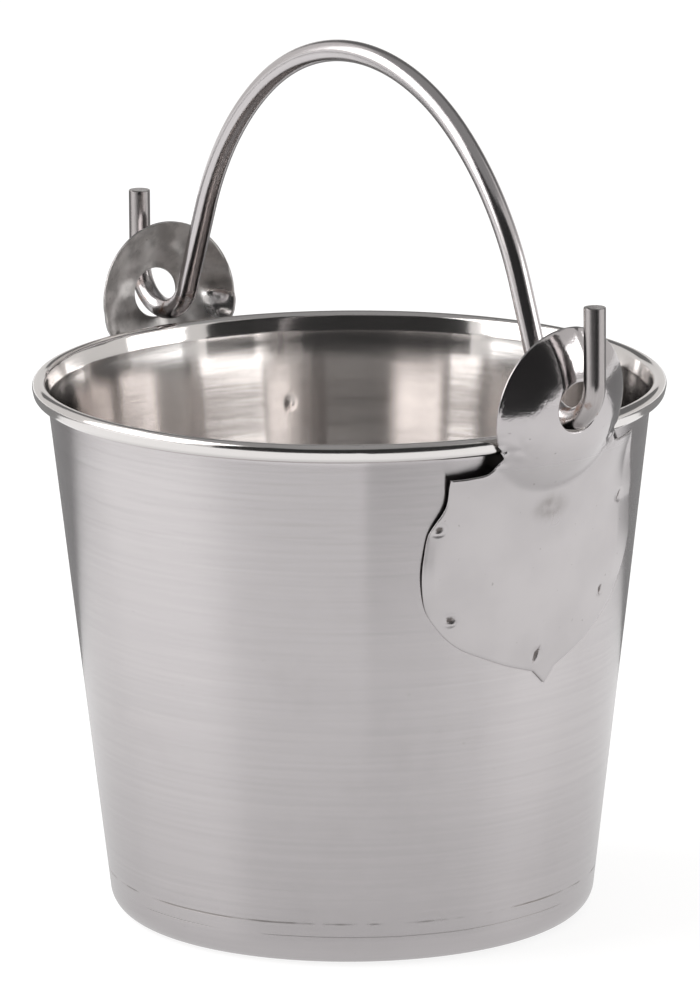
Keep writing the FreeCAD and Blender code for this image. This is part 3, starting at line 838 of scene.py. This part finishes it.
def pressed_ear():
    """Polished over the dome, satin on the lobe, dull and blotched behind, where the colour is
    painted lighter, with a painted highlight over the knocks and painted shade where the back lies
    against the wall.
    """
    material, tree, shader = metal("ear_steel")
    plan = knot(tree, "ShaderNodeAttribute", attribute_name="plan").outputs["Vector"]
    _, up, front = knot(tree, "ShaderNodeSeparateXYZ", {0: plan}).outputs
    domed = ramp(tree, up, 164 * MM, 171 * MM)
    polish = maths(tree, "MULTIPLY", domed, ramp(tree, front, 0.3, 0.6))
    back = ramp(tree, front, 0.6, 0.3)

    cloud = grain(tree, plan, (120, 120, 3), 4.0, 0.6)
    broad = grain(tree, plan, (38, 38, 3), 3.0, 0.5)
    lines = grain(tree, plan, (50, 1900, 3), 2.0, 0.6)
    peel = grain(tree, plan, (1500, 1500, 3), 2.0, 0.6)
    specks = ramp(tree, grain(tree, plan, (520, 520, 3), 1.0, 0.4), 0.74, 0.79)

    burnt = maths(tree, "MULTIPLY", burns(tree, plan, peel), ramp(tree, front, 0.8, 0.95))
    # Painted highlight: a near-white patch on the back faces over the left ear's knocks, which is
    # also given a smoother roughness there.
    knock_highlight = knot(tree, "ShaderNodeVectorMath", {0: plan, 1: (*KNOCK_HIGHLIGHT_SPOT, 0)},
                   operation="DISTANCE").outputs["Value"]
    knock_highlight = maths(tree, "MULTIPLY", ramp(tree, knock_highlight, 3 * MM, 9 * MM, 1.0, 0.0), back)
    smudge = flat_length(tree, oval(tree, plan, SMUDGE_SPOT, SMUDGE_SIZE))
    smudge = ramp(tree, smudge, 0.0, 1.2, 1.0, 0.0)
    smudge = maths(tree, "MULTIPLY", smudge, ramp(tree, cloud, 0.3, 0.7, 0.2, 1.0))
    # Painted shade: the back faces below the neck, which lie against the wall, are painted near
    # black.
    painted_hidden_shade = maths(tree, "MULTIPLY",
                   ramp(tree, front, 0.35, 0.15), ramp(tree, up, 171 * MM, 166 * MM))

    colour = tint(tree, ramp(tree, broad, 0.3, 0.7), EAR_STEEL_DARK, EAR_STEEL)
    dull = maths(tree, "MULTIPLY", ramp(tree, cloud, 0.38, 0.62, 0.0, 0.6), back)
    # Painted light: the back faces take the lighter colour.
    colour = tint(tree, back, colour, EAR_BACK_PAINTED_LIGHT)
    colour = tint(tree, dull, colour, EAR_BACK_DULL)
    colour = tint(tree, knock_highlight, colour, EAR_KNOCK_HIGHLIGHT)
    colour = dirt_and_shade_layers(tree, colour, (painted_hidden_shade, 0.92, SHADE), (smudge, 0.7, GRIME),
                    (burnt, 0.75, BURNT), (specks, 0.35, GRIME))

    satin = maths(tree, "MULTIPLY_ADD", broad, 0.10, 0.24)
    bright = maths(tree, "MULTIPLY_ADD", cloud, 0.06, 0.10)
    rough = mixed_value(tree, polish, satin, bright)
    rough = maths(tree, "MULTIPLY_ADD", back, 0.2, rough)
    rough = maths(tree, "MULTIPLY_ADD", knock_highlight, -0.3, rough)
    rough = maths(tree, "MULTIPLY_ADD", burnt, 0.25, rough)

    normal = bumps(tree, lines, 0.010 * MM)
    normal = bumps(tree, peel, 0.006 * MM, normal)
    dimpled = maths(tree, "MULTIPLY", grain(tree, plan, (620, 620, 3), 2.0, 0.6), polish)
    normal = bumps(tree, dimpled, 0.035 * MM, normal)
    normal = bumps(tree, cloud, 0.03 * MM, normal)
    beaten = maths(tree, "MULTIPLY", grain(tree, plan, (110, 110, 3), 1.0, 0.4), back)
    normal = bumps(tree, beaten, 2.2 * MM, normal)
    finish_metal(tree, shader, colour, rough, normal)
    return material


def drawn_rod():
    """Bright drawn rod with lengthwise lines, rusty where it rubs in the hooks."""
    material, tree, shader = metal("rod_steel")
    run = knot(tree, "ShaderNodeAttribute", attribute_name="run").outputs["Vector"]
    place = knot(tree, "ShaderNodeTexCoord").outputs["Object"]
    reach, _, up = knot(tree, "ShaderNodeSeparateXYZ", {0: place}).outputs
    worn = ramp(tree, maths(tree, "ABSOLUTE", reach), 108 * MM, 115 * MM)
    lines = grain(tree, run, (12, 9, 9), 4.0, 0.65)
    streaks = grain(tree, run, (30, 24, 24), 2.0, 0.6)
    cloud = grain(tree, place, (160, 160, 160), 4.0, 0.6)
    peel = grain(tree, place, (900, 900, 900), 2.0, 0.6)

    rubbed = ramp(tree, up, AXIS_HEIGHT + 2 * MM, AXIS_HEIGHT + 9 * MM, 1.0, 0.0)
    rust = maths(tree, "MULTIPLY", rubbed, ramp(tree, cloud, 0.53, 0.66))
    specks = ramp(tree, peel, 0.73, 0.79)

    colour = tint(tree, ramp(tree, lines, 0.3, 0.7), STEEL_DARK, STEEL)
    colour = dirt_and_shade_layers(tree, colour, (worn, 0.42, GRIME), (specks, 0.4, GRIME), (rust, 0.8, RUST))
    rough = maths(tree, "MULTIPLY_ADD", streaks, 0.12, 0.11)
    rough = maths(tree, "MULTIPLY_ADD", worn, 0.02, rough)
    rough = maths(tree, "MULTIPLY_ADD", rust, 0.35, rough)
    normal = bumps(tree, streaks, 0.02 * MM)
    normal = bumps(tree, peel, 0.006 * MM, normal)
    finish_metal(tree, shader, colour, rough, normal)
    return material


# ------------------------------------------------------------------- staging
VIEW_AZIMUTH = 52.5
VIEW_RISE = 14.22
VIEW_DISTANCE = 3.06
VIEW_PIVOT = 81.6 * MM       # height that the camera's distance and rise are taken from
VIEW_AIM = 134.2 * MM        # height that the camera looks at
VIEW_ROLL = -0.34
VIEW_LENS = 340.2

WORLD_COLOUR, WORLD_GLOW = (1, 0.985, 0.97, 1), 0.72
FLOOR_REACH, FLOOR_GREY, FLOOR_GLOW = 6, 0.35, 0.76
CEILING_HEIGHT, CEILING_REACH, CEILING_GLOW = 2.3, 1.7, 0.32

# The dark studio in front of the table: its floor's rear edge, as places to the right
# of the bucket and towards the camera, and how far it runs on to its wall.
ROOM_EDGE = [(-3.2, 0.75), (0.05, 0.75), (0.06, 0.50), (0.34, 0.50), (0.72, 0.76), (1.85, 1.20)]
ROOM_JUMP = 0.02             # stretches of the edge shorter than this carry no floor
ROOM_FAR, ROOM_LEFT, ROOM_RIGHT, ROOM_TALL = 1.9, -2.2, 3.1, 3.0
ROOM_GLOW = 0.03

# The floor behind the bucket, and the boards that stand beyond it.
BACK_NEAR, BACK_FAR, BACK_HALF, BACK_GLOW = -0.29, -1.3, 1.6, 0.26
BACKDROP = [(1.76, -0.71), (0.65, -1.79), (-0.95, -1.65)]
BACKDROP_LOW, BACKDROP_HIGH, BACKDROP_GLOW = 0.68, 2.3, 0.16

# The floor round the foot, darker towards the bucket.
FOOT_REACH, FOOT_HEIGHT = 0.8, 0.4 * MM
FOOT_DARK, FOOT_LIT = 0.70, 1.01
FOOT_DARK_REACH, FOOT_LIT_REACH = 0.07, 0.36


def bearing(azimuth, distance, height):
    """A place at an azimuth round the bucket, in degrees, where 0 looks along +Y."""
    turn = math.radians(azimuth)
    return Vector((distance * math.sin(turn), -distance * math.cos(turn), height))


def aim(obj, target, roll=0.0):
    away = obj.location - Vector(target)
    turned = away.to_track_quat("Z", "Y").to_matrix().to_4x4()
    obj.rotation_euler = (turned @ Matrix.Rotation(math.radians(roll), 4, "Z")).to_euler()


def put(obj):
    bpy.context.scene.collection.objects.link(obj)
    return obj


def camera():
    data = bpy.data.cameras.new("camera")
    data.lens = VIEW_LENS
    data.sensor_width = 36
    data.clip_end = 50
    obj = put(bpy.data.objects.new("camera", data))
    level = VIEW_DISTANCE * math.cos(math.radians(VIEW_RISE))
    climb = VIEW_DISTANCE * math.sin(math.radians(VIEW_RISE))
    obj.location = bearing(VIEW_AZIMUTH, level, VIEW_PIVOT + climb)
    aim(obj, (0, 0, VIEW_AIM), VIEW_ROLL)
    bpy.context.scene.camera = obj


def plain(name, colour, glow):
    material = bpy.data.materials.new(name)
    material.use_nodes = True
    shader = material.node_tree.nodes["Principled BSDF"]
    shader.inputs["Base Color"].default_value = (*colour, 1)
    shader.inputs["Roughness"].default_value = 0.9
    shader.inputs["Specular IOR Level"].default_value = 0.0
    shader.inputs["Emission Color"].default_value = (1, 1, 1, 1)
    shader.inputs["Emission Strength"].default_value = glow
    return material


def sheet(name, corners, material):
    mesh = bpy.data.meshes.new(name)
    mesh.from_pydata(corners, [], [(0, 1, 2, 3)])
    mesh.materials.append(material)
    obj = put(bpy.data.objects.new(name, mesh))
    return obj


def reflected(name, corners, glow):
    """A board that only the steel reflects; nothing else sees it."""
    obj = sheet(name, corners, plain(name, (0, 0, 0), glow))
    obj.visible_camera = False
    obj.visible_diffuse = False
    obj.visible_shadow = False


def placed(right, near, height=1 * MM):
    """A place so far to the right of the bucket's axis and so far towards the camera."""
    return bearing(VIEW_AZIMUTH, near, height) + bearing(VIEW_AZIMUTH + 90, right, 0)


def square(reach, height):
    """The corners of a level square round the bucket's axis."""
    return [(-reach, -reach, height), (reach, -reach, height),
            (reach, reach, height), (-reach, reach, height)]


def dark_room():
    """The dark studio in front, beyond the edge of the white table."""
    for number, (start, end) in enumerate(zip(ROOM_EDGE, ROOM_EDGE[1:])):
        if end[0] - start[0] < ROOM_JUMP:
            continue
        reflected("room_floor_%d" % number,
                  [placed(*start), placed(*end), placed(end[0], ROOM_FAR),
                   placed(start[0], ROOM_FAR)], ROOM_GLOW)
    up = Vector((0, 0, ROOM_TALL))
    left, right = placed(ROOM_LEFT, ROOM_FAR), placed(ROOM_RIGHT, ROOM_FAR)
    reflected("room_wall", [left, right, right + up, left + up], ROOM_GLOW)


def back_floor():
    """The dim floor behind the bucket as the steel's sides reflect it."""
    reflected("back_floor", [
        placed(-BACK_HALF, BACK_NEAR), placed(BACK_HALF, BACK_NEAR),
        placed(BACK_HALF, BACK_FAR), placed(-BACK_HALF, BACK_FAR)], BACK_GLOW)


def near_floor():
    """The floor round the foot as the steel reflects it: shaded by the bucket."""
    reflected("near_floor", square(FOOT_REACH, FOOT_HEIGHT), FOOT_LIT)
    tree = bpy.data.materials["near_floor"].node_tree
    place = knot(tree, "ShaderNodeTexCoord").outputs["Object"]
    away = knot(tree, "ShaderNodeVectorMath", {0: place}, operation="LENGTH").outputs["Value"]
    glow = ramp(tree, away, FOOT_DARK_REACH, FOOT_LIT_REACH, FOOT_DARK, FOOT_LIT)
    tree.links.new(glow, tree.nodes["Principled BSDF"].inputs["Emission Strength"])


def backdrop():
    """Grey boards behind the bucket, above its lit background."""
    for number, (start, end) in enumerate(zip(BACKDROP, BACKDROP[1:])):
        reflected("backdrop_%d" % number,
                  [placed(*start, BACKDROP_LOW), placed(*end, BACKDROP_LOW),
                   placed(*end, BACKDROP_HIGH), placed(*start, BACKDROP_HIGH)], BACKDROP_GLOW)


def softbox(name, azimuth, distance, height, width, tall, radiance):
    """A soft light at an azimuth to the right of the camera's, aimed at the bucket."""
    data = bpy.data.lights.new(name, "AREA")
    data.shape = "RECTANGLE"
    data.size = width
    data.size_y = tall
    data.energy = radiance * math.pi * width * tall
    obj = put(bpy.data.objects.new(name, data))
    obj.location = bearing(VIEW_AZIMUTH + azimuth, distance, height)
    aim(obj, (0, 0, 0.1))
    obj.visible_camera = False


def stage():
    sheet("floor", square(FLOOR_REACH, 0), plain("floor_paper", (FLOOR_GREY,) * 3, FLOOR_GLOW))
    world = bpy.data.worlds.new("studio")
    world.use_nodes = True
    background = world.node_tree.nodes["Background"]
    background.inputs["Color"].default_value = WORLD_COLOUR
    background.inputs["Strength"].default_value = WORLD_GLOW
    bpy.context.scene.world = world
    bpy.context.scene.view_settings.view_transform = "Standard"
    softbox("left_softbox", azimuth=-84, distance=1.6, height=1.12,
            width=1.85, tall=1.6, radiance=2.5)
    softbox("right_softbox", azimuth=84, distance=1.6, height=0.64,
            width=0.80, tall=0.54, radiance=2.7)
    dark_room()
    back_floor()
    near_floor()
    backdrop()
    reflected("ceiling", square(CEILING_REACH, CEILING_HEIGHT), CEILING_GLOW)


shell_steel = brushed_shell()
ear_steel = pressed_ear()
rod_steel = drawn_rod()

PIECES = [
    (pail_shell(), "pail_shell", "pail", "pail_steel", shell_steel),
    (ear("right_ear_detail", False, RIGHT_SEED), "right_ear", "pail", "ear_steel", ear_steel),
    (ear("left_ear_detail", True, LEFT_SEED), "left_ear", "pail", "ear_steel", ear_steel),
    (bail(), "bail", "bail", "rod_steel", rod_steel),
]
for piece, node, body, slot, material in PIECES:
    piece.data.materials.append(material)
    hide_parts(node)
    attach(piece, body)

camera()
stage()
